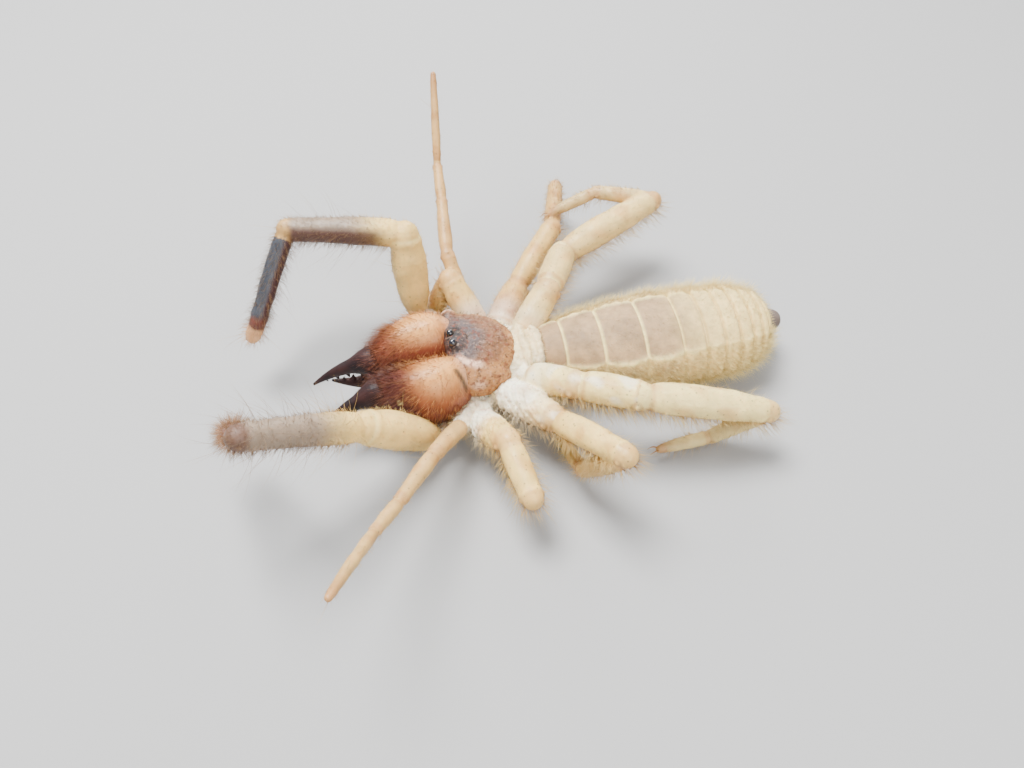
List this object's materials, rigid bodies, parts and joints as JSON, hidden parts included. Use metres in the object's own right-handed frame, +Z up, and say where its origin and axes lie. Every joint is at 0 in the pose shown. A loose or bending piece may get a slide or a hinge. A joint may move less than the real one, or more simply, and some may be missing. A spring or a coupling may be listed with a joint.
{
  "type": "camel spider model",
  "caption": "Still life-size camel spider with stout toothed jaws, long raised palps, bristly legs and a banded abdomen, resting on its belly.",
  "frame": {"origin": "middle of the bounding box, on the floor under the belly", "axes": "+X runs from the head to the tail, +Y to the animal's right side, +Z up"},
  "size_m": [0.0564, 0.0604, 0.0191],
  "materials": {
    "leg_cuticle": "satin",
    "abdomen_cuticle": "matte",
    "head_plate": "satin",
    "chelicera_cuticle": "satin",
    "palp_cuticle": "satin",
    "finger_horn": "gloss",
    "anal_plate": "matte",
    "eye": "gloss"
  },
  "bodies": {
    "root": {"prosoma": "leg_cuticle", "propeltidium": "head_plate", "mesopeltidium": "leg_cuticle", "metapeltidium": "leg_cuticle", "abdomen": "abdomen_cuticle", "anal_segment": "anal_plate", "rostrum": "anal_plate", "eye_right": "eye", "chelicera_right": "chelicera_cuticle", "movable_finger_right": "finger_horn", "eye_left": "eye", "chelicera_left": "chelicera_cuticle", "movable_finger_left": "finger_horn", "palp_right_femur": "leg_cuticle", "palp_right_tibia": "palp_cuticle", "palp_right_metatarsus": "palp_cuticle", "palp_right_tarsus": "chelicera_cuticle", "palp_left_femur": "leg_cuticle", "palp_left_tibia": "palp_cuticle", "palp_left_metatarsus": "palp_cuticle", "palp_left_tarsus": "chelicera_cuticle", "leg_1_right_femur": "leg_cuticle", "leg_1_right_patella": "leg_cuticle", "leg_1_right_tibia": "leg_cuticle", "leg_1_right_tarsus": "leg_cuticle", "leg_1_left_femur": "leg_cuticle", "leg_1_left_patella": "leg_cuticle", "leg_1_left_tibia": "leg_cuticle", "leg_1_left_tarsus": "leg_cuticle", "leg_2_right_trochanter": "leg_cuticle", "leg_2_right_femur": "leg_cuticle", "leg_2_right_tibia": "leg_cuticle", "leg_2_right_tarsus": "leg_cuticle", "leg_2_left_trochanter": "leg_cuticle", "leg_2_left_femur": "leg_cuticle", "leg_2_left_tibia": "leg_cuticle", "leg_2_left_tarsus": "leg_cuticle", "leg_3_right_trochanter": "leg_cuticle", "leg_3_right_femur": "leg_cuticle", "leg_3_right_tibia": "leg_cuticle", "leg_3_right_tarsus": "leg_cuticle", "leg_3_left_trochanter": "leg_cuticle", "leg_3_left_femur": "leg_cuticle", "leg_3_left_tibia": "leg_cuticle", "leg_3_left_tarsus": "leg_cuticle", "leg_4_right_trochanter": "leg_cuticle", "leg_4_right_femur": "leg_cuticle", "leg_4_right_tibia": "leg_cuticle", "leg_4_right_metatarsus": "leg_cuticle", "leg_4_right_tarsus": "leg_cuticle", "leg_4_left_trochanter": "leg_cuticle", "leg_4_left_femur": "leg_cuticle", "leg_4_left_tibia": "leg_cuticle", "leg_4_left_metatarsus": "leg_cuticle", "leg_4_left_tarsus": "leg_cuticle"}
  },
  "joints": []
}
